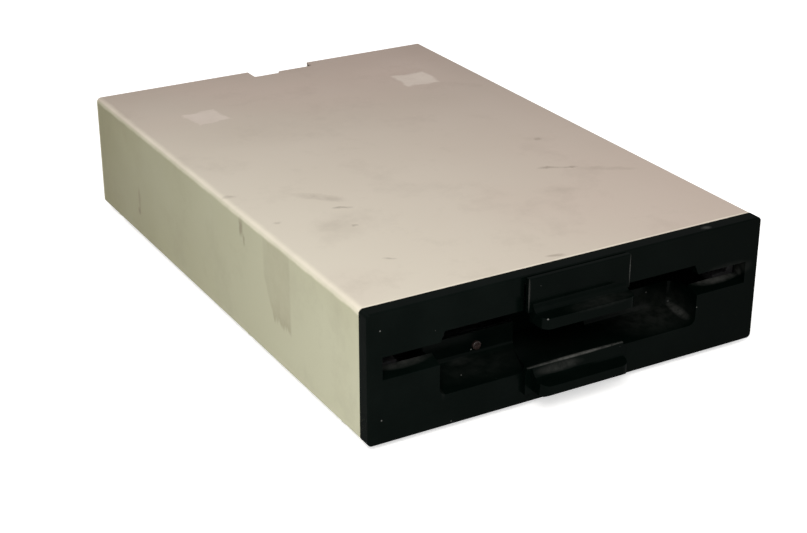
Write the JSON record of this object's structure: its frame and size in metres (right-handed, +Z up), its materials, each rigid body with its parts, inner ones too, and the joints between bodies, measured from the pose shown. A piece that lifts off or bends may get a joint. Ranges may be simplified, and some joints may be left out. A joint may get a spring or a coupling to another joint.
{
  "type": "external floppy disk drive",
  "caption": "Half-height 5.25 inch floppy disk drive in a flat painted steel case with a black front, disk slot, finger recesses and a flip lever, mechanism inside.",
  "frame": {"origin": "on the surface that the feet stand on, under the middle of the whole drive", "axes": "+Z up, -Y out of the front, +X to the right when seen from the front"},
  "size_m": [0.15, 0.2354, 0.047],
  "materials": {
    "case_paint": "semi-gloss",
    "bezel_black": "glossy, slightly worn",
    "feet_rubber": "matt",
    "screw_steel": "zinc plated",
    "spring_steel": "plain",
    "cast_aluminium": "as cast",
    "ground_steel": "ground",
    "black_plastic": "matt",
    "white_plastic": "matt",
    "grey_plastic": "matt",
    "board": "solder resist",
    "copper": "enamelled wire",
    "magnet": "sintered",
    "ceramic": "polished",
    "lamp_red": "clear red, unlit",
    "gold_pins": "plated"
  },
  "bodies": {
    "drive": {"base_pan": "case_paint", "bezel_screws": "screw_steel", "bridge_screws": "screw_steel", "capacitors": "grey_plastic", "case_cover": "case_paint", "case_screws": "screw_steel", "chassis_frame": "cast_aluminium", "clamp_bridge": "screw_steel", "clamp_pivot_shaft": "ground_steel", "clamp_spring": "spring_steel", "disk_guide_left": "black_plastic", "disk_guide_right": "black_plastic", "drive_mount_screws": "screw_steel", "front_bezel": "bezel_black", "guide_rods": "ground_steel", "header_pins": "gold_pins", "in_use_lamp": "lamp_red", "index_sensor": "black_plastic", "lamp_holder": "black_plastic", "lever_shaft": "ground_steel", "lever_spring": "spring_steel", "logic_board": "board", "logic_board_screws": "screw_steel", "logic_chips": "black_plastic", "lower_bearing": "ground_steel", "motor_board": "board", "motor_board_screws": "screw_steel", "motor_coils": "copper", "motor_driver_chip": "black_plastic", "ribbon_header": "black_plastic", "rubber_feet": "feet_rubber", "stepper_body": "black_plastic", "stepper_screws": "screw_steel", "track_zero_sensor": "black_plastic", "upper_bearing": "ground_steel", "write_protect_sensor": "black_plastic"},
    "lever": {"latch_lever": "bezel_black"},
    "clamp_arm": {"clamp_arm": "screw_steel"},
    "clamp_hub": {"clamp_hub": "white_plastic", "clamp_hub_clip": "spring_steel", "clamp_hub_spring": "spring_steel"},
    "spindle": {"spindle_hub": "ground_steel", "spindle_shaft": "ground_steel", "motor_rotor": "screw_steel", "rotor_magnet": "magnet"},
    "carriage": {"carriage": "grey_plastic", "lower_head": "ceramic", "head_arm_pin": "ground_steel", "head_arm_spring": "spring_steel", "carriage_band": "spring_steel"},
    "head_arm": {"head_arm": "grey_plastic", "upper_head": "ceramic"},
    "stepper_rotor": {"stepper_shaft": "ground_steel", "capstan": "cast_aluminium", "capstan_band": "spring_steel"}
  },
  "joints": [
    {"name": "lever_hinge", "type": "hinge", "parent": "drive", "child": "lever", "pos_m": [0, -0.10225, 0.042], "axis": [1, 0, 0], "range_deg": [0, 38]},
    {"name": "clamp_arm_hinge", "type": "hinge", "parent": "drive", "child": "clamp_arm", "pos_m": [0, -0.06775, 0.039], "axis": [1, 0, 0], "range_deg": [-10, 0]},
    {"name": "clamp_hub_spin", "type": "hinge", "parent": "clamp_arm", "child": "clamp_hub", "pos_m": [0, -0.02442, 0.04664], "axis": [0, -0.1736, 0.9848], "continuous": true},
    {"name": "spindle_spin", "type": "hinge", "parent": "drive", "child": "spindle", "pos_m": [0, -0.02375, 0.022], "axis": [0, 0, 1], "continuous": true},
    {"name": "carriage_slide", "type": "slide", "parent": "drive", "child": "carriage", "axis": [0, 1, 0], "range_m": [-0.02063, 0]},
    {"name": "head_arm_hinge", "type": "hinge", "parent": "carriage", "child": "head_arm", "pos_m": [0, 0.0694, 0.0348], "axis": [1, 0, 0], "range_deg": [0, 5]},
    {"name": "stepper_turn", "type": "hinge", "parent": "drive", "child": "stepper_rotor", "pos_m": [-0.042, 0.04925, 0.022], "axis": [0, 0, 1], "range_deg": [-140.5, 0.1]}
  ],
  "couplings": [
    {"joint": "clamp_arm_hinge", "follows": "lever_hinge", "ratio": -0.26316},
    {"joint": "head_arm_hinge", "follows": "lever_hinge", "ratio": 0.13158},
    {"joint": "stepper_turn", "follows": "carriage_slide", "rad_per_m": 118.76}
  ]
}
